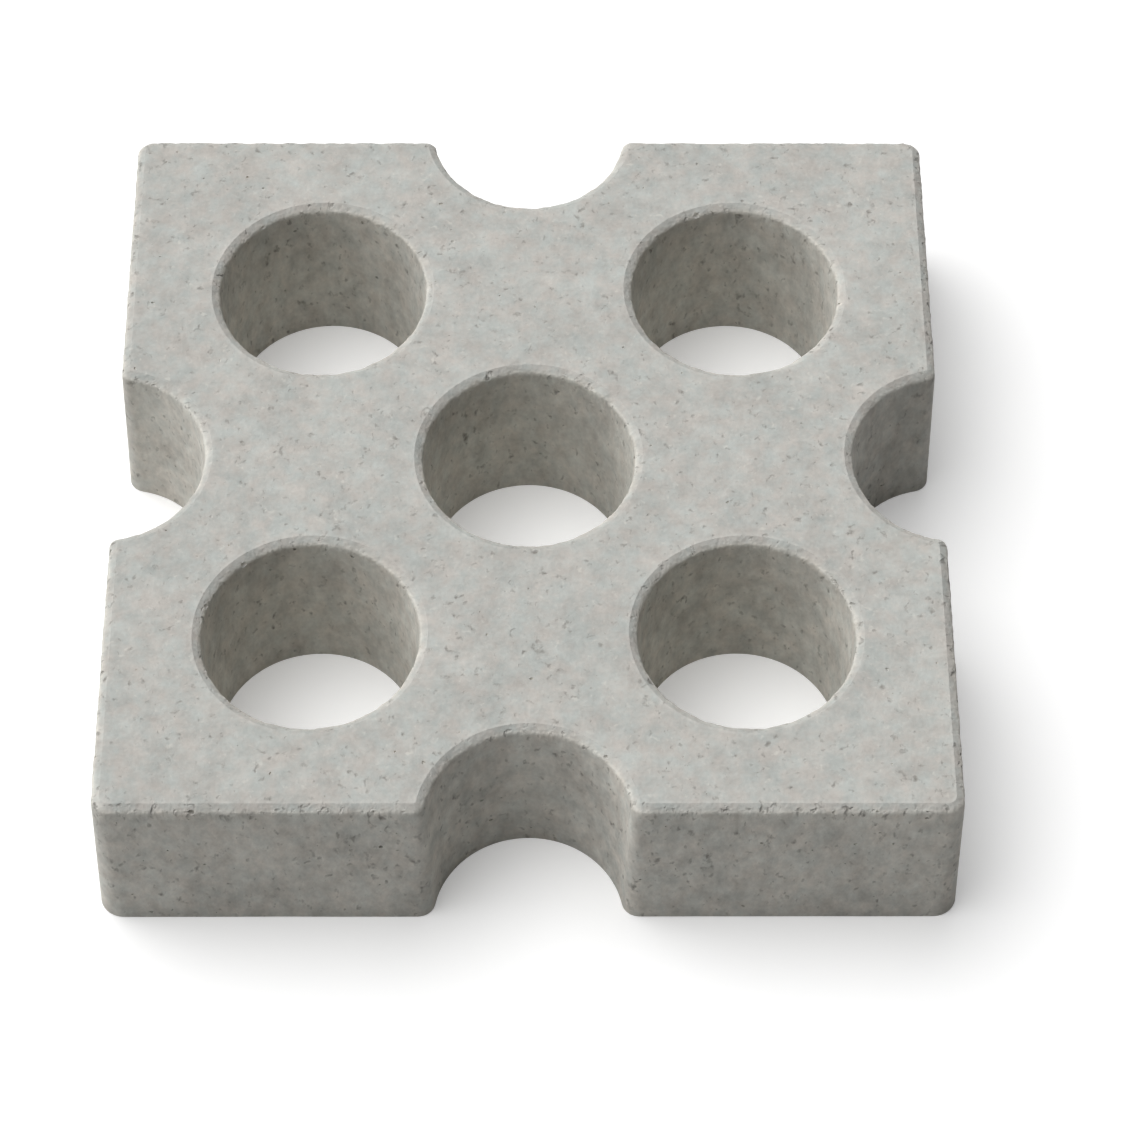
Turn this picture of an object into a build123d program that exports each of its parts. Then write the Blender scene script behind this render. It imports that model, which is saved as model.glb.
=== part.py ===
"""Concrete grass paver: one cast block with round planting holes and half-round edge notches.

The origin is at the middle of the underside, +Z is up, and all lengths are in millimetres.
The outline and its holes are drawn once and given at the top face. The mould's draft then leans every
wall, so that the block is widest, and each hole and notch is narrowest, at the underside.
"""

from build123d import *

import os

# Block
laying_module = 400.0  # from one paver's centre to the next one's
top_side = 390.0  # across the top, before its edges are chamfered
thickness = 90.0
corner_radius = 8.0
draft_angle = 2.0  # degrees, on every upright wall

# Planting holes: one in the middle and four around it
hole_radius = 50.0
hole_spacing = 200.0  # between outer holes: half the laying module, so holes and notches keep one pattern

# Half-round notches in the sides, centred on the joint line between two pavers
notch_count = 4
notch_radius = 47.0
lip_radius = 7.0  # rounds the upright edges where a notch meets the block's side

# Chamfer along every top edge, wider across the top face than it is deep
chamfer_width = 4.0
chamfer_depth = 2.0

with BuildPart() as paver:
    with BuildSketch() as outline:
        RectangleRounded(top_side, top_side, corner_radius)
        with PolarLocations(laying_module / 2, notch_count):
            Circle(notch_radius, mode=Mode.SUBTRACT)
        fillet(outline.vertices(Select.LAST), radius=lip_radius)
        Circle(hole_radius, mode=Mode.SUBTRACT)
        with GridLocations(hole_spacing, hole_spacing, 2, 2):
            Circle(hole_radius, mode=Mode.SUBTRACT)
    extrude(amount=thickness)

    # The walls turn about the top face, so the sizes above hold there.
    upright_walls = paver.faces().filter_by(Axis.Z, reverse=True)
    draft(upright_walls, neutral_plane=Plane.XY.offset(thickness), angle=draft_angle)

    top_face = paver.faces().sort_by(Axis.Z)[-1]
    chamfer(top_face.edges(), length=chamfer_width, length2=chamfer_depth, reference=top_face)

paver.part.label = "paver"

os.makedirs("parts", exist_ok=True)
export_step(paver.part, "parts/paver.step")
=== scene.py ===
"""Concrete grass paver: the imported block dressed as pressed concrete, on a plain white floor.

The block is rebuilt from its driving sizes as a fine mesh. Geometry Nodes then give it what casting gives:
slightly uneven faces, worn and chipped arrises, and the small open holes that air leaves in the surface.
Lengths are in metres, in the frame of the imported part: origin at the middle of the underside, +Z up.
"""

import math

import bpy
from mathutils import Matrix, Vector
from mathutils.geometry import delaunay_2d_cdt
from mathutils.kdtree import KDTree


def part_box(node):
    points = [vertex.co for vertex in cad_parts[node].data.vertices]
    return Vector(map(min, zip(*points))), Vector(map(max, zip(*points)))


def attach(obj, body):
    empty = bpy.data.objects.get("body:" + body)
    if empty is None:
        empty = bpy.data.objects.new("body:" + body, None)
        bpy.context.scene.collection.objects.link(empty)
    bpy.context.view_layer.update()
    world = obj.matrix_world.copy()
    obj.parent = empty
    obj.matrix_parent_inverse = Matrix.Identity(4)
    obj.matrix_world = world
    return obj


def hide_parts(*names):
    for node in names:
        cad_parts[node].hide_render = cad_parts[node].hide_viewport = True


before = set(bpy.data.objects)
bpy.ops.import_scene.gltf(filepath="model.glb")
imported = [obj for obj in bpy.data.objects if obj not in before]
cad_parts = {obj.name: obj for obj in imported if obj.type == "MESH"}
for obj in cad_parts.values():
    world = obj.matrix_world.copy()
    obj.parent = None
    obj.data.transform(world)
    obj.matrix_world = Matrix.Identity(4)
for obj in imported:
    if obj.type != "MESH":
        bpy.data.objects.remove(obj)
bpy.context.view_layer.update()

MM = 0.001

# Block, as drawn at its top face before the edges are chamfered
NODE = "paver"
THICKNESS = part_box(NODE)[1].z
DRAFT_SLOPE = math.tan(math.radians(2.0))
TOP_HALF_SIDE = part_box(NODE)[1].x - THICKNESS * DRAFT_SLOPE
LAYING_MODULE = 400 * MM
CORNER_RADIUS = 8 * MM
HOLE_RADIUS = 50 * MM
HOLE_SPACING = 200 * MM
NOTCH_RADIUS = 47 * MM
LIP_RADIUS = 5 * MM  # tighter than the 7 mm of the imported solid, as the photo shows the lips
CHAMFER_WIDTH = 4 * MM
CHAMFER_DEPTH = 2 * MM

# Mesh: distance between points along the outlines, and across the flat faces
OUTLINE_STEP = 1.5 * MM
FACE_STEP = 5 * MM
MERGE_DISTANCE = 1e-7  # points nearer than this count as one when a face is filled
# Rows of points: in from the chamfer on the top face, down the wall from the arris, and in from the foot
TOP_ROWS = [0.8 * MM, 0.4 * MM, 0]
CHAMFER_ROWS = [0.33, 0.7]  # shares of the way down the chamfer
WALL_ROWS = [row * MM for row in (0, 1.2, 2.6, 5, 9, 17, 30, 46, 62, 76, 84, 87.2)]
FOOT_ROWS = [0, 0.8 * MM, 2.5 * MM, 6 * MM]

# As-cast relief: the sizes that the relief tree takes as its inputs
RELIEF = {
    "Wave Length": 35 * MM,
    "Wave Height": 0.30 * MM,
    "Arris Round": 0.45 * MM,
    "Round Reach": 1.1 * MM,
    "Wear Length": 5 * MM,
    "Wear Depth": 0.6 * MM,
    "Wear Reach": 4.5 * MM,
    "Void Spacing": 6 * MM,
    "Voids per Square Metre": 3000.0,
    "Void Share on Flats": 0.5,
    "Least Void Radius": 0.35 * MM,
    "Most Void Radius": 1.1 * MM,
    "Chip Share": 0.10,
    "Chip Share on Rims": 0.025,
    "Chip Lift": 0.4 * MM,
    "Least Chip Radius": 0.6 * MM,
    "Most Chip Radius": 1.6 * MM,
}
RELIEF_SEED = 7
ARRIS_BEND = math.radians(45)  # sharper edges than this are arrises
ON_ARRIS = 0.01 * MM  # points this near are on the arris itself
STRAIGHT_REACH = 190 * MM  # an arris further out is on a straight side, not on the rim of a hole or notch
WAVE_DETAIL, WEAR_DETAIL = 2.0, 3.0
WEAR_NONE, WEAR_FULL = 0.38, 0.68  # noise levels at which the arris keeps its shape, and is fully worn
LUMP_KNOCK = 0.25  # how far a corner of the cutting lump is knocked out of place, as a share of its radius
LUMP_SLIM, LUMP_FAT = 0.5, 1.5  # how far a lump is squeezed or stretched along each axis
SMALL_ONES = 3.0  # the higher, the more of the lumps are small
CRISP_BEND = math.radians(22)  # sharper edges than this stay crisp in shading
CRISP_BEND_AT_ARRIS = math.radians(70)  # the same at the worn arris, which is to look round
WORN_ZONE, CRISP_ZONE = 2 * MM, 4 * MM  # distances from the arris over which the two bends blend

# Concrete: size of each kind of mark, and how strongly it shows. Real sand is finer than the grain, the pits
# and the bare sand here, which are drawn as coarse as they need to show.
TOP_COOL, TOP_WARM = "#B2B5B1", "#B7B3AD"
# The wall greys are painted paler than the top's, as a stand-in for light that the lamps don't bring to the
# walls
WALL_COOL_PAINTED_PALER, WALL_WARM_PAINTED_PALER = "#CBCBC4", "#CFCAC1"
# The pit colour is painted shade: the shade that falls into small open pores, drawn as dark specks
# The rubbed pale is partly rubbed wear and partly a painted highlight on the arrises and the chamfer's upper
# edge
PIT_PAINTED_SHADE, SAND_PALE, RUBBED_AND_HIGHLIGHT_PALE = "#83807A", "#D2D0C8", "#CDCBC5"
CLOUD_SIZE, CLOUD_SHADE = 24 * MM, 0.32
MOTTLE_SIZE, MOTTLE_SHADE = 7 * MM, 0.48
GRAIN_SIZE, GRAIN_SHADE = 2.0 * MM, 0.17
MOULD_DRAG = 1.5  # marks on the walls are this much taller than they are wide
WALL_FROM, WALL_FULL = 0.88, 0.65  # upward part of the normal at which the wall's look starts, and is full
WALL_CONTRAST = 1.6
TINT_SIZE, TINT_COOL, TINT_WARM = 9 * MM, 0.35, 0.65
PIT_SIZE, PIT_FROM, PIT_FULL, PIT_SHADE = 3.6 * MM, 0.645, 0.825, 0.9
PATCH_SIZE, PATCH_PITS = 20 * MM, 0.16
# Added to the pit noise everywhere, on the walls, and at the worn straight edges
ALL_PITS, WALL_PITS, EDGE_PITS = -0.07, 0.012, 0.045
EDGE_FROM, EDGE_FULL = 6 * MM, 1 * MM
SAND_SIZE, SAND_FROM, SAND_FULL, SAND_SHADE = 3.7 * MM, 0.64, 0.78, 0.5
# The pale line along the arrises and the chamfer's upper edge is partly rubbed wear and partly a painted
# highlight
RUB_AND_HIGHLIGHT_SIZE, RUB_AND_HIGHLIGHT_NONE, RUB_AND_HIGHLIGHT_ALL = 5.3 * MM, 0.40, 0.60
ARRIS_RUB_AND_HIGHLIGHT_FROM, ARRIS_RUB_AND_HIGHLIGHT_FULL, ARRIS_RUB_AND_HIGHLIGHT_SHADE = 1.4 * MM, 0.4 * MM, 0.5
UPPER_RUB_AND_HIGHLIGHT_FROM, UPPER_RUB_AND_HIGHLIGHT_FULL, UPPER_RUB_AND_HIGHLIGHT_SHADE = 1.2 * MM, 0.2 * MM, 0.25
BUMP_DEPTH, EDGE_BUMP_DEPTH = 0.2 * MM, 0.5 * MM
PIT_HOLLOW = -1.5  # how deep a pit is, beside the grain
SKIN_ROUGHNESS, SKIN_SHINE = 0.9, 0.3

# Camera, from a fit to the photo's edges and hole rims
CAMERA_PLACE = Vector((3.918, -1103.499, 1609.389)) * MM
CAMERA_PITCH = math.radians(55.579)
CAMERA_YAW = math.radians(0.700)
CAMERA_ROLL = math.radians(0.568)
SENSOR_MM = 36.0
IMAGE_SIZE = 1129
FOCAL_PIXELS = 3979.86

# Light: a soft key high on the left and behind, a broad window on the left, and a faint white surround.
# Each level is the light that falls on a flat floor from it, where one shows a colour as it is written.
# A lamp has the way toward it, its level, and how wide it looks.
LAMPS = {
    "soft_key": (Vector((-0.3, 0.3, 1.0)), 0.64, math.radians(60)),
    "broad_window": (Vector((-1.0, 0.1, 1.0)), 0.365, math.radians(90)),
}
SURROUND_LEVEL = 0.055
FLOOR_HALF_SIDE = 3.0
FLOOR_COLOUR, FLOOR_BOUNCE_COLOUR = "#F4F4F4", "#BCBCBC"  # as seen, and as light bounces off it
FLOOR_GLOW = 0.22  # lifts the floor that is seen to white


def linear(hex_colour):
    """Turns an sRGB hex colour into the linear RGBA that shader sockets take."""
    channels = [int(hex_colour[i:i + 2], 16) / 255 for i in (1, 3, 5)]
    return [c / 12.92 if c <= 0.04045 else ((c + 0.055) / 1.055) ** 2.4 for c in channels] + [1.0]


def live(sockets, key):
    """The socket with that name or number among those that the node's settings leave in use."""
    if isinstance(key, int):
        return sockets[key]
    return next(socket for socket in sockets if socket.enabled and socket.name == key)


def add_node(tree, kind, inputs=None, **settings):
    """Adds a node with its settings, and links or sets its inputs. A node as input means its first output."""
    node = tree.nodes.new(kind)
    for name, value in settings.items():
        setattr(node, name, value)
    for key, value in (inputs or {}).items():
        socket = live(node.inputs, key)
        if isinstance(value, bpy.types.Node):
            value = next(output for output in value.outputs if output.enabled)
        if isinstance(value, bpy.types.NodeSocket):
            tree.links.new(value, socket)
        else:
            socket.default_value = value
    return node


# Outlines in plan: each point comes with the direction out of the concrete, to the right of the way round

def line(start, end):
    along = (end - start).normalized()
    count = max(1, round((end - start).length / OUTLINE_STEP))
    return [(start.lerp(end, i / count), Vector((along.y, -along.x))) for i in range(count)]


def arc(centre, radius, start_angle, end_angle):
    side = 1 if end_angle > start_angle else -1
    count = max(1, round(radius * abs(end_angle - start_angle) / OUTLINE_STEP))
    points = []
    for i in range(count):
        angle = start_angle + (end_angle - start_angle) * i / count
        spoke = Vector((math.cos(angle), math.sin(angle)))
        points.append((centre + radius * spoke, side * spoke))
    return points


def side_outline():
    """The front side from the left corner to the right one, with its notch and the rounded lips beside it."""
    half, corner, lip = TOP_HALF_SIDE, CORNER_RADIUS, LIP_RADIUS
    notch_centre = Vector((0, -LAYING_MODULE / 2))
    rise = LAYING_MODULE / 2 - half + lip
    lip_x = math.sqrt((NOTCH_RADIUS + lip) ** 2 - rise ** 2)
    tilt = math.atan2(rise, lip_x)
    turn = math.pi / 2
    return (
        arc(Vector((corner - half, corner - half)), corner, 2 * turn, 3 * turn)
        + line(Vector((corner - half, -half)), Vector((-lip_x, -half)))
        + arc(Vector((-lip_x, lip - half)), lip, 3 * turn, 4 * turn - tilt)
        + arc(notch_centre, NOTCH_RADIUS, 2 * turn - tilt, tilt)
        + arc(Vector((lip_x, lip - half)), lip, 2 * turn + tilt, 3 * turn)
        + line(Vector((lip_x, -half)), Vector((half - corner, -half)))
    )


def block_outline():
    front = side_outline()
    turns = [Matrix.Rotation(quarter * math.pi / 2, 2) for quarter in range(4)]
    return [(turn @ point, turn @ out) for turn in turns for point, out in front]


def hole_centres():
    reach = HOLE_SPACING / 2
    return [Vector((0, 0))] + [Vector((x, y)) for x in (-reach, reach) for y in (-reach, reach)]


def hole_outlines():
    return [arc(centre, HOLE_RADIUS, 0, -2 * math.pi) for centre in hole_centres()]


# Block mesh

def wall_profile():
    """Rows from the top face over the chamfer, down the wall and in under the foot, as (way out, height)."""
    top = [(-CHAMFER_WIDTH - row, THICKNESS) for row in TOP_ROWS]
    chamfer = [(-CHAMFER_WIDTH * (1 - part), THICKNESS - CHAMFER_DEPTH * part) for part in CHAMFER_ROWS]
    depths = [CHAMFER_DEPTH + row for row in WALL_ROWS]
    wall = [(depth * DRAFT_SLOPE, THICKNESS - depth) for depth in depths]
    foot = [(THICKNESS * DRAFT_SLOPE - row, 0) for row in FOOT_ROWS]
    return top + chamfer + wall + foot


def sweep_walls(outlines, points, faces):
    """Carries the profile round each outline, and returns the rings that border the top and bottom faces."""
    profile = wall_profile()
    top_rings, bottom_rings = [], []
    for outline in outlines:
        count = len(outline)
        first = len(points)
        for out, height in profile:
            points.extend((*(point + out * outward), height) for point, outward in outline)
        for row in range(len(profile) - 1):
            start = first + row * count
            for i in range(count):
                j = (i + 1) % count
                faces.append((start + i, start + count + i, start + count + j, start + j))
        top_rings.append(range(first, first + count))
        bottom_rings.append(range(len(points) - count, len(points)))
    return top_rings, bottom_rings


def fill_face(rings, height, upward, points, faces):
    """Fills the flat face between its rings with even triangles."""
    border = [index for ring in rings for index in ring]
    spots = [Vector(points[index][:2]) for index in border]
    place = {index: i for i, index in enumerate(border)}
    edges = [(place[ring[i - 1]], place[ring[i]]) for ring in rings for i in range(len(ring))]
    border_tree = KDTree(len(spots))
    for i, spot in enumerate(spots):
        border_tree.insert((*spot, 0), i)
    border_tree.balance()
    hole_reach = (spots[place[rings[1][0]]] - hole_centres()[0]).length
    row_step = FACE_STEP * math.sqrt(0.75)
    reach = int(TOP_HALF_SIDE / row_step)
    for row in range(-reach, reach + 1):
        for column in range(-reach, reach + 1):
            spot = Vector(((column + row % 2 / 2) * FACE_STEP, row * row_step))
            if border_tree.find((*spot, 0))[2] > FACE_STEP / 2:
                spots.append(spot)
    spots, _, triangles, sources = delaunay_2d_cdt(spots, edges, [], 1, MERGE_DISTANCE)[:4]
    index_of = {}
    for triangle in triangles:
        middle = sum((spots[k] for k in triangle), Vector((0, 0))) / 3
        if any((middle - centre).length < hole_reach for centre in hole_centres()):
            continue
        for k in triangle:
            if k in index_of:
                continue
            if sources[k][0] < len(border):
                index_of[k] = border[sources[k][0]]
            else:
                index_of[k] = len(points)
                points.append((*spots[k], height))
        corners = [index_of[k] for k in triangle]
        faces.append(corners if upward else corners[::-1])


def build_block():
    points, faces = [], []
    top_rings, bottom_rings = sweep_walls([block_outline()] + hole_outlines(), points, faces)
    fill_face(top_rings, THICKNESS, True, points, faces)
    fill_face(bottom_rings, 0, False, points, faces)
    mesh = bpy.data.meshes.new("cast_paver")
    mesh.from_pydata(points, [], faces)
    block = bpy.data.objects.new("cast_paver", mesh)
    bpy.context.scene.collection.objects.link(block)
    return block


# As-cast relief

def relief_tree(concrete):
    """Uneven faces, worn arrises, then air voids and chips cut out of the block."""
    tree = bpy.data.node_groups.new("as_cast_relief", "GeometryNodeTree")
    tree.interface.new_socket("Geometry", in_out="INPUT", socket_type="NodeSocketGeometry")
    for name in RELIEF:
        tree.interface.new_socket(name, in_out="INPUT", socket_type="NodeSocketFloat")
    tree.interface.new_socket("Seed", in_out="INPUT", socket_type="NodeSocketInt")
    tree.interface.new_socket("Geometry", in_out="OUTPUT", socket_type="NodeSocketGeometry")
    given = add_node(tree, "NodeGroupInput").outputs

    # How far each point is from the nearest arris of the top edges
    bend = add_node(tree, "GeometryNodeInputMeshEdgeAngle").outputs["Unsigned Angle"]
    place = add_node(tree, "GeometryNodeInputPosition").outputs["Position"]
    level = add_node(tree, "ShaderNodeSeparateXYZ", {"Vector": place}).outputs["Z"]
    is_bent = add_node(tree, "FunctionNodeCompare", {"A": bend, "B": ARRIS_BEND}, operation="GREATER_THAN")
    is_high = add_node(tree, "FunctionNodeCompare", {"A": level, "B": THICKNESS / 2},
                       operation="GREATER_THAN")
    is_arris = add_node(tree, "FunctionNodeBooleanMath", {0: is_bent, 1: is_high}, operation="AND")
    sharp_lines = add_node(tree, "GeometryNodeSeparateGeometry",
                           {"Geometry": given["Geometry"], "Selection": is_arris},
                           domain="EDGE").outputs["Selection"]
    apart = add_node(tree, "GeometryNodeProximity", {"Geometry": sharp_lines},
                     target_element="EDGES").outputs["Distance"]
    marked = add_node(tree, "GeometryNodeStoreNamedAttribute",
                      {"Geometry": given["Geometry"], "Name": "arris_distance", "Value": apart})
    distance = add_node(tree, "GeometryNodeInputNamedAttribute",
                        {"Name": "arris_distance"}).outputs["Attribute"]
    on_arris = add_node(tree, "FunctionNodeCompare", {"A": distance, "B": ON_ARRIS}, operation="LESS_THAN")

    # Every face a little uneven, and the arrises worn back by more, always into the concrete
    wave_scale = add_node(tree, "ShaderNodeMath", {0: 1.0, 1: given["Wave Length"]}, operation="DIVIDE")
    wave = add_node(tree, "ShaderNodeTexNoise", {"Scale": wave_scale, "Detail": WAVE_DETAIL})
    wave_in = add_node(tree, "ShaderNodeMath", {0: wave, 1: given["Wave Height"]}, operation="MULTIPLY")
    wear_scale = add_node(tree, "ShaderNodeMath", {0: 1.0, 1: given["Wear Length"]}, operation="DIVIDE")
    wear = add_node(tree, "ShaderNodeTexNoise", {"Scale": wear_scale, "Detail": WEAR_DETAIL})
    wear_part = add_node(tree, "ShaderNodeMapRange",
                         {"Value": wear, "From Min": WEAR_NONE, "From Max": WEAR_FULL})
    wear_fade = add_node(tree, "ShaderNodeMapRange",
                         {"Value": distance, "From Max": given["Wear Reach"],
                          "To Min": given["Wear Depth"], "To Max": 0.0},
                         interpolation_type="SMOOTHSTEP")
    wear_in = add_node(tree, "ShaderNodeMath", {0: wear_part, 1: wear_fade, 2: wave_in},
                       operation="MULTIPLY_ADD")
    outward = add_node(tree, "GeometryNodeInputNormal").outputs["Normal"]
    round_in = add_node(tree, "ShaderNodeMapRange",
                        {"Value": distance, "From Max": given["Round Reach"],
                         "To Min": given["Arris Round"], "To Max": 0.0})
    worn_in = add_node(tree, "ShaderNodeMath", {0: wear_in, 1: round_in}, operation="ADD")
    inward = add_node(tree, "ShaderNodeMath", {0: worn_in, 1: -1.0}, operation="MULTIPLY")
    shift = add_node(tree, "ShaderNodeVectorMath", {0: outward, "Scale": inward}, operation="SCALE")
    worn = add_node(tree, "GeometryNodeSetPosition", {"Geometry": marked, "Offset": shift})

    # One rough lump of twenty faces is the tool for both the voids and the chips
    ball = add_node(tree, "GeometryNodeMeshIcoSphere", {"Radius": 1.0, "Subdivisions": 1})
    knock = add_node(tree, "FunctionNodeRandomValue",
                     {"Min": [-LUMP_KNOCK] * 3, "Max": [LUMP_KNOCK] * 3, "Seed": given["Seed"]},
                     data_type="FLOAT_VECTOR")
    lump = add_node(tree, "GeometryNodeSetPosition", {"Geometry": ball, "Offset": knock})
    turn = add_node(tree, "FunctionNodeRandomValue",
                    {"Min": [0.0] * 3, "Max": [math.tau] * 3, "Seed": given["Seed"]},
                    data_type="FLOAT_VECTOR")
    stretch = add_node(tree, "FunctionNodeRandomValue",
                       {"Min": [LUMP_SLIM] * 3, "Max": [LUMP_FAT] * 3, "Seed": given["Seed"]},
                       data_type="FLOAT_VECTOR")
    chance = add_node(tree, "FunctionNodeRandomValue", {"Min": 0.0, "Max": 1.0, "Seed": given["Seed"]},
                      data_type="FLOAT")
    mostly_small = add_node(tree, "ShaderNodeMath", {0: chance, 1: SMALL_ONES}, operation="POWER")

    # Air voids, fewer on the flat faces than on the walls
    height = add_node(tree, "ShaderNodeSeparateXYZ", {"Vector": outward}).outputs["Z"]
    flatness = add_node(tree, "ShaderNodeMath", {0: height}, operation="ABSOLUTE")
    void_share = add_node(tree, "ShaderNodeMapRange",
                          {"Value": flatness, "To Min": 1.0, "To Max": given["Void Share on Flats"]})
    void_spots = add_node(tree, "GeometryNodeDistributePointsOnFaces",
                          {"Mesh": worn, "Distance Min": given["Void Spacing"],
                           "Density Max": given["Voids per Square Metre"], "Density Factor": void_share,
                           "Seed": given["Seed"]}, distribute_method="POISSON").outputs["Points"]
    void_radius = add_node(tree, "ShaderNodeMapRange",
                           {"Value": mostly_small, "To Min": given["Least Void Radius"],
                            "To Max": given["Most Void Radius"]})
    void_size = add_node(tree, "ShaderNodeVectorMath", {0: stretch, "Scale": void_radius}, operation="SCALE")
    voids = add_node(tree, "GeometryNodeInstanceOnPoints",
                     {"Points": void_spots, "Instance": lump, "Rotation": turn, "Scale": void_size})

    # Chips along the arrises, fewer on the rims of the holes and notches than on the straight sides
    sides = add_node(tree, "ShaderNodeVectorMath", {0: place}, operation="ABSOLUTE")
    sides = add_node(tree, "ShaderNodeSeparateXYZ", {"Vector": sides}).outputs
    far_out = add_node(tree, "ShaderNodeMath", {0: sides["X"], 1: sides["Y"]}, operation="MAXIMUM")
    is_straight = add_node(tree, "FunctionNodeCompare", {"A": far_out, "B": STRAIGHT_REACH},
                           operation="GREATER_THAN")
    chip_share = add_node(tree, "GeometryNodeSwitch",
                          {"Switch": is_straight, "False": given["Chip Share on Rims"],
                           "True": given["Chip Share"]}, input_type="FLOAT")
    picked = add_node(tree, "FunctionNodeRandomValue", {"Probability": chip_share, "Seed": given["Seed"]},
                      data_type="BOOLEAN")
    chosen = add_node(tree, "FunctionNodeBooleanMath", {0: on_arris, 1: picked}, operation="AND")
    lift = add_node(tree, "ShaderNodeVectorMath", {0: outward, "Scale": given["Chip Lift"]},
                    operation="SCALE")
    lifted = add_node(tree, "ShaderNodeVectorMath", {0: lift, 1: place}, operation="ADD")
    chip_spots = add_node(tree, "GeometryNodeMeshToPoints",
                          {"Mesh": worn, "Selection": chosen, "Position": lifted})
    chip_radius = add_node(tree, "ShaderNodeMapRange",
                           {"Value": mostly_small, "To Min": given["Least Chip Radius"],
                            "To Max": given["Most Chip Radius"]})
    chip_size = add_node(tree, "ShaderNodeVectorMath", {0: stretch, "Scale": chip_radius}, operation="SCALE")
    chips = add_node(tree, "GeometryNodeInstanceOnPoints",
                     {"Points": chip_spots, "Instance": lump, "Rotation": turn, "Scale": chip_size})

    # The cut adds points, so the distance to the worn arris is measured again for the material
    cut = add_node(tree, "GeometryNodeMeshBoolean", {"Mesh 1": worn}, operation="DIFFERENCE",
                   solver="MANIFOLD")
    tree.links.new(voids.outputs[0], cut.inputs["Mesh 2"])
    tree.links.new(chips.outputs[0], cut.inputs["Mesh 2"])
    worn_lines = add_node(tree, "GeometryNodeSeparateGeometry",
                          {"Geometry": worn, "Selection": on_arris}).outputs["Selection"]
    apart = add_node(tree, "GeometryNodeProximity", {"Geometry": worn_lines},
                     target_element="EDGES").outputs["Distance"]
    marked_again = add_node(tree, "GeometryNodeStoreNamedAttribute",
                            {"Geometry": cut, "Name": "arris_distance", "Value": apart})
    smooth = add_node(tree, "GeometryNodeSetShadeSmooth", {0: marked_again})
    crisp_bend = add_node(tree, "ShaderNodeMapRange",
                          {"Value": distance, "From Min": WORN_ZONE, "From Max": CRISP_ZONE,
                           "To Min": CRISP_BEND_AT_ARRIS, "To Max": CRISP_BEND})
    is_crisp = add_node(tree, "FunctionNodeCompare", {"A": bend, "B": crisp_bend}, operation="GREATER_THAN")
    crisp = add_node(tree, "GeometryNodeSetShadeSmooth",
                     {0: smooth, "Selection": is_crisp, "Shade Smooth": False}, domain="EDGE")
    whole = add_node(tree, "GeometryNodeRealizeInstances", {0: crisp})
    coated = add_node(tree, "GeometryNodeSetMaterial", {"Geometry": whole, "Material": concrete})
    add_node(tree, "NodeGroupOutput", {"Geometry": coated})
    return tree


def cast_relief(block, concrete):
    """Runs the relief tree on the block and keeps its result as a plain mesh."""
    tree = relief_tree(concrete)
    modifier = block.modifiers.new("relief", "NODES")
    modifier.node_group = tree
    for socket in tree.interface.items_tree:
        if socket.in_out == "INPUT" and socket.name in RELIEF:
            modifier[socket.identifier] = RELIEF[socket.name]
        elif socket.in_out == "INPUT" and socket.name == "Seed":
            modifier[socket.identifier] = RELIEF_SEED
    evaluated = block.evaluated_get(bpy.context.evaluated_depsgraph_get())
    mesh = bpy.data.meshes.new_from_object(evaluated)
    block.modifiers.remove(modifier)
    block.data = mesh


# Material

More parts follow.
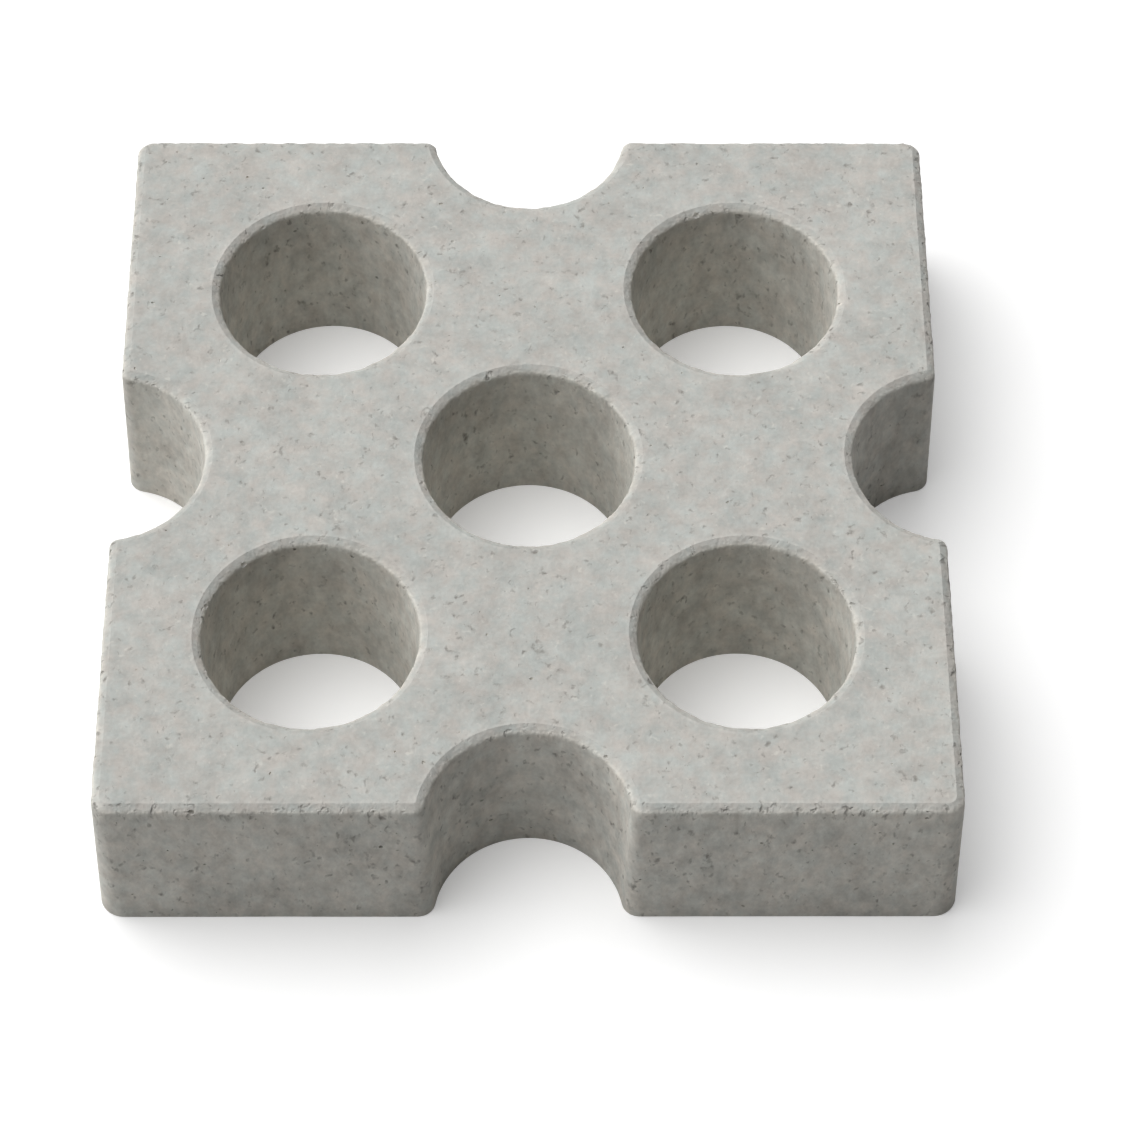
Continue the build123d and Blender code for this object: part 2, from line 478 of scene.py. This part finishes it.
def pressed_concrete():
    """Concrete pressed in a steel mould: a matt grey skin of cement and fine sand, mottled by the mix.

    The eye sees soft clouds and small mottles of cool and warm grey, dark specks where the skin is open,
    which are the shade in these small pores painted on, pale specks of bare sand, and a paler line along the
    arrises that is partly rubbed wear and partly a painted highlight. The walls, which slid along the mould,
    are warmer and more strongly marked than the top, and their marks are drawn out upward. They are also
    painted paler than the top, which stands in for light that the lamps don't bring to them.
    """
    material = bpy.data.materials.new("pressed_concrete")
    material.use_nodes = True
    tree = material.node_tree
    tree.nodes.clear()
    coords = add_node(tree, "ShaderNodeTexCoord").outputs
    place = add_node(tree, "ShaderNodeVectorMath", {0: coords["Object"], 1: (1, 1, 1 / MOULD_DRAG)},
                     operation="MULTIPLY")
    up = add_node(tree, "ShaderNodeSeparateXYZ", {"Vector": coords["Normal"]}).outputs["Z"]
    wall = add_node(tree, "ShaderNodeMapRange", {"Value": up, "From Min": WALL_FROM, "From Max": WALL_FULL})

    cloud = add_node(tree, "ShaderNodeTexNoise", {"Vector": place, "Scale": 1 / CLOUD_SIZE, "Detail": 2.0})
    mottle = add_node(tree, "ShaderNodeTexNoise",
                      {"Vector": place, "Scale": 1 / MOTTLE_SIZE, "Detail": 3.0, "Roughness": 0.6})
    grain = add_node(tree, "ShaderNodeTexNoise", {"Vector": place, "Scale": 1 / GRAIN_SIZE, "Detail": 1.0})
    middle = -(CLOUD_SHADE + MOTTLE_SHADE + GRAIN_SHADE) / 2
    shade = add_node(tree, "ShaderNodeMath", {0: cloud, 1: CLOUD_SHADE, 2: middle}, operation="MULTIPLY_ADD")
    shade = add_node(tree, "ShaderNodeMath", {0: mottle, 1: MOTTLE_SHADE, 2: shade}, operation="MULTIPLY_ADD")
    shade = add_node(tree, "ShaderNodeMath", {0: grain, 1: GRAIN_SHADE, 2: shade}, operation="MULTIPLY_ADD")
    contrast = add_node(tree, "ShaderNodeMapRange", {"Value": wall, "To Min": 1.0, "To Max": WALL_CONTRAST})
    brightness = add_node(tree, "ShaderNodeMath", {0: shade, 1: contrast, 2: 1.0}, operation="MULTIPLY_ADD")

    tint = add_node(tree, "ShaderNodeTexNoise",
                    {"Vector": place, "Scale": 1 / TINT_SIZE, "Detail": 4.0, "Roughness": 0.6})
    warmth = add_node(tree, "ShaderNodeMapRange",
                      {"Value": tint, "From Min": TINT_COOL, "From Max": TINT_WARM})
    top_grey = add_node(tree, "ShaderNodeMix",
                        {"Factor": warmth, "A": linear(TOP_COOL), "B": linear(TOP_WARM)}, data_type="RGBA")
    # Painted light: the wall grey is paler than the top's, standing in for light that the lamps don't bring
    # to the walls
    wall_grey_painted_paler = add_node(tree, "ShaderNodeMix",
                         {"Factor": warmth, "A": linear(WALL_COOL_PAINTED_PALER), "B": linear(WALL_WARM_PAINTED_PALER)},
                         data_type="RGBA")
    grey = add_node(tree, "ShaderNodeMix", {"Factor": wall, "A": top_grey, "B": wall_grey_painted_paler}, data_type="RGBA")
    mottled = add_node(tree, "ShaderNodeVectorMath", {0: grey, "Scale": brightness}, operation="SCALE")

    # Open pits in the skin come in patches, more of them on the walls and most along the worn straight edges
    arris = add_node(tree, "ShaderNodeAttribute", attribute_name="arris_distance").outputs["Fac"]
    edge = add_node(tree, "ShaderNodeMapRange",
                    {"Value": arris, "From Min": EDGE_FROM, "From Max": EDGE_FULL})
    sides = add_node(tree, "ShaderNodeVectorMath", {0: coords["Object"]}, operation="ABSOLUTE")
    sides = add_node(tree, "ShaderNodeSeparateXYZ", {"Vector": sides}).outputs
    far_out = add_node(tree, "ShaderNodeMath", {0: sides["X"], 1: sides["Y"]}, operation="MAXIMUM")
    straight = add_node(tree, "ShaderNodeMapRange",
                        {"Value": far_out, "From Min": STRAIGHT_REACH - CHAMFER_WIDTH,
                         "From Max": STRAIGHT_REACH})
    worn_edge = add_node(tree, "ShaderNodeMath", {0: edge, 1: straight}, operation="MULTIPLY")
    patch = add_node(tree, "ShaderNodeTexNoise", {"Vector": place, "Scale": 1 / PATCH_SIZE, "Detail": 1.0})
    lean = add_node(tree, "ShaderNodeMath", {0: wall, 1: WALL_PITS, 2: ALL_PITS}, operation="MULTIPLY_ADD")
    lean = add_node(tree, "ShaderNodeMath", {0: worn_edge, 1: EDGE_PITS, 2: lean}, operation="MULTIPLY_ADD")
    lean = add_node(tree, "ShaderNodeMath", {0: patch, 1: PATCH_PITS, 2: lean}, operation="MULTIPLY_ADD")
    pit = add_node(tree, "ShaderNodeTexNoise",
                   {"Vector": place, "Scale": 1 / PIT_SIZE, "Detail": 2.0, "Roughness": 0.5,
                    "Distortion": 0.25})
    pit_level = add_node(tree, "ShaderNodeMath", {0: pit, 1: lean}, operation="ADD")
    pitted = add_node(tree, "ShaderNodeMapRange",
                      {"Value": pit_level, "From Min": PIT_FROM, "From Max": PIT_FULL, "To Max": PIT_SHADE})
    sand = add_node(tree, "ShaderNodeTexNoise",
                    {"Vector": place, "Scale": 1 / SAND_SIZE, "Detail": 2.0, "Roughness": 0.5,
                     "Distortion": 0.4})
    bare = add_node(tree, "ShaderNodeMapRange",
                    {"Value": sand, "From Min": SAND_FROM, "From Max": SAND_FULL, "To Max": SAND_SHADE})
    sanded = add_node(tree, "ShaderNodeMix", {"Factor": bare, "A": mottled, "B": linear(SAND_PALE)},
                      data_type="RGBA")
    # The pits are painted dark: this is the shade that falls into small open pores, painted on as specks
    marked = add_node(tree, "ShaderNodeMix", {"Factor": pitted, "A": sanded, "B": linear(PIT_PAINTED_SHADE)},
                      data_type="RGBA")

    # The arris is painted pale here and there, and the upper edge of the chamfer fainter: partly rubbed wear,
    # partly a painted highlight
    beyond = add_node(tree, "ShaderNodeMath", {0: arris, 1: math.hypot(CHAMFER_WIDTH, CHAMFER_DEPTH)},
                      operation="SUBTRACT")
    beside = add_node(tree, "ShaderNodeMath", {0: beyond}, operation="ABSOLUTE")
    upper = add_node(tree, "ShaderNodeMath", {0: beside, 1: wall}, operation="ADD")
    upper_rub_and_highlight = add_node(tree, "ShaderNodeMapRange",
                         {"Value": upper, "From Min": UPPER_RUB_AND_HIGHLIGHT_FROM, "From Max": UPPER_RUB_AND_HIGHLIGHT_FULL,
                          "To Max": UPPER_RUB_AND_HIGHLIGHT_SHADE})
    arris_rub_and_highlight = add_node(tree, "ShaderNodeMapRange",
                         {"Value": arris, "From Min": ARRIS_RUB_AND_HIGHLIGHT_FROM, "From Max": ARRIS_RUB_AND_HIGHLIGHT_FULL,
                          "To Max": ARRIS_RUB_AND_HIGHLIGHT_SHADE})
    rub_and_highlight = add_node(tree, "ShaderNodeMath", {0: upper_rub_and_highlight, 1: arris_rub_and_highlight}, operation="MAXIMUM")
    rub_and_highlight_noise = add_node(tree, "ShaderNodeTexNoise", {"Vector": place, "Scale": 1 / RUB_AND_HIGHLIGHT_SIZE, "Detail": 2.0})
    rub_and_highlight_spread = add_node(tree, "ShaderNodeMapRange",
                       {"Value": rub_and_highlight_noise, "From Min": RUB_AND_HIGHLIGHT_NONE, "From Max": RUB_AND_HIGHLIGHT_ALL})
    rubbed_and_highlighted = add_node(tree, "ShaderNodeMath", {0: rub_and_highlight, 1: rub_and_highlight_spread}, operation="MULTIPLY")
    colour = add_node(tree, "ShaderNodeMix", {"Factor": rubbed_and_highlighted, "A": marked, "B": linear(RUBBED_AND_HIGHLIGHT_PALE)},
                      data_type="RGBA")

    hollow = add_node(tree, "ShaderNodeMath", {0: pitted, 1: PIT_HOLLOW, 2: grain}, operation="MULTIPLY_ADD")
    relief = add_node(tree, "ShaderNodeMath", {0: mottle, 1: hollow}, operation="ADD")
    depth = add_node(tree, "ShaderNodeMapRange",
                     {"Value": edge, "To Min": BUMP_DEPTH, "To Max": EDGE_BUMP_DEPTH})
    bump = add_node(tree, "ShaderNodeBump", {"Height": relief, "Strength": 1.0, "Distance": depth})
    shader = add_node(tree, "ShaderNodeBsdfPrincipled",
                      {"Base Color": colour, "Roughness": SKIN_ROUGHNESS,
                       "Specular IOR Level": SKIN_SHINE, "Normal": bump})
    add_node(tree, "ShaderNodeOutputMaterial", {"Surface": shader})
    return material


# Stage

def background_rays(tree):
    """One for the rays that should see the background as white: camera, glossy and transmission rays."""
    rays = add_node(tree, "ShaderNodeLightPath").outputs
    mirrored = add_node(tree, "ShaderNodeMath", {0: rays["Is Glossy Ray"], 1: rays["Is Transmission Ray"]},
                        operation="MAXIMUM")
    return add_node(tree, "ShaderNodeMath", {0: rays["Is Camera Ray"], 1: mirrored}, operation="MAXIMUM")


def white_floor():
    mesh = bpy.data.meshes.new("floor")
    s = FLOOR_HALF_SIDE
    mesh.from_pydata([(-s, -s, 0), (s, -s, 0), (s, s, 0), (-s, s, 0)], [], [(0, 1, 2, 3)])
    floor = bpy.data.objects.new("floor", mesh)
    bpy.context.scene.collection.objects.link(floor)
    material = bpy.data.materials.new("white_floor")
    material.use_nodes = True
    tree = material.node_tree
    tree.nodes.clear()
    dull = add_node(tree, "ShaderNodeBsdfDiffuse", {"Color": linear(FLOOR_BOUNCE_COLOUR)})
    white = add_node(tree, "ShaderNodeBsdfDiffuse", {"Color": linear(FLOOR_COLOUR)})
    glow = add_node(tree, "ShaderNodeEmission", {"Strength": FLOOR_GLOW})
    lifted = add_node(tree, "ShaderNodeAddShader", {0: white, 1: glow})
    seen = add_node(tree, "ShaderNodeMixShader", {0: background_rays(tree), 1: dull, 2: lifted})
    add_node(tree, "ShaderNodeOutputMaterial", {"Surface": seen})
    mesh.materials.append(material)


def light_scene():
    for name, (source, level, angle) in LAMPS.items():
        toward = source.normalized()
        sun = bpy.data.lights.new(name, "SUN")
        sun.energy = level * math.pi / toward.z
        sun.angle = angle
        lamp = bpy.data.objects.new(name, sun)
        lamp.rotation_euler = toward.to_track_quat("Z", "Y").to_euler()
        bpy.context.scene.collection.objects.link(lamp)
    world = bpy.data.worlds.new("white_surround")
    world.use_nodes = True
    tree = world.node_tree
    tree.nodes.clear()
    soft = add_node(tree, "ShaderNodeBackground", {"Strength": SURROUND_LEVEL, "Color": (1, 1, 1, 1)})
    white = add_node(tree, "ShaderNodeBackground", {"Strength": 1.0, "Color": (1, 1, 1, 1)})
    seen = add_node(tree, "ShaderNodeMixShader", {0: background_rays(tree), 1: soft, 2: white})
    add_node(tree, "ShaderNodeOutputWorld", {"Surface": seen})
    bpy.context.scene.world = world
    bpy.context.scene.view_settings.view_transform = "Standard"


def place_camera():
    data = bpy.data.cameras.new("camera")
    data.sensor_width = SENSOR_MM
    data.lens = FOCAL_PIXELS / IMAGE_SIZE * SENSOR_MM
    camera = bpy.data.objects.new("camera", data)
    turn = Matrix.Rotation(-CAMERA_YAW, 4, "Z") @ Matrix.Rotation(math.pi / 2 - CAMERA_PITCH, 4, "X")
    camera.matrix_world = Matrix.Translation(CAMERA_PLACE) @ turn @ Matrix.Rotation(CAMERA_ROLL, 4, "Z")
    bpy.context.scene.collection.objects.link(camera)
    bpy.context.scene.camera = camera


block = build_block()
cast_relief(block, pressed_concrete())
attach(block, "root")
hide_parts(NODE)

white_floor()
light_scene()
place_camera()
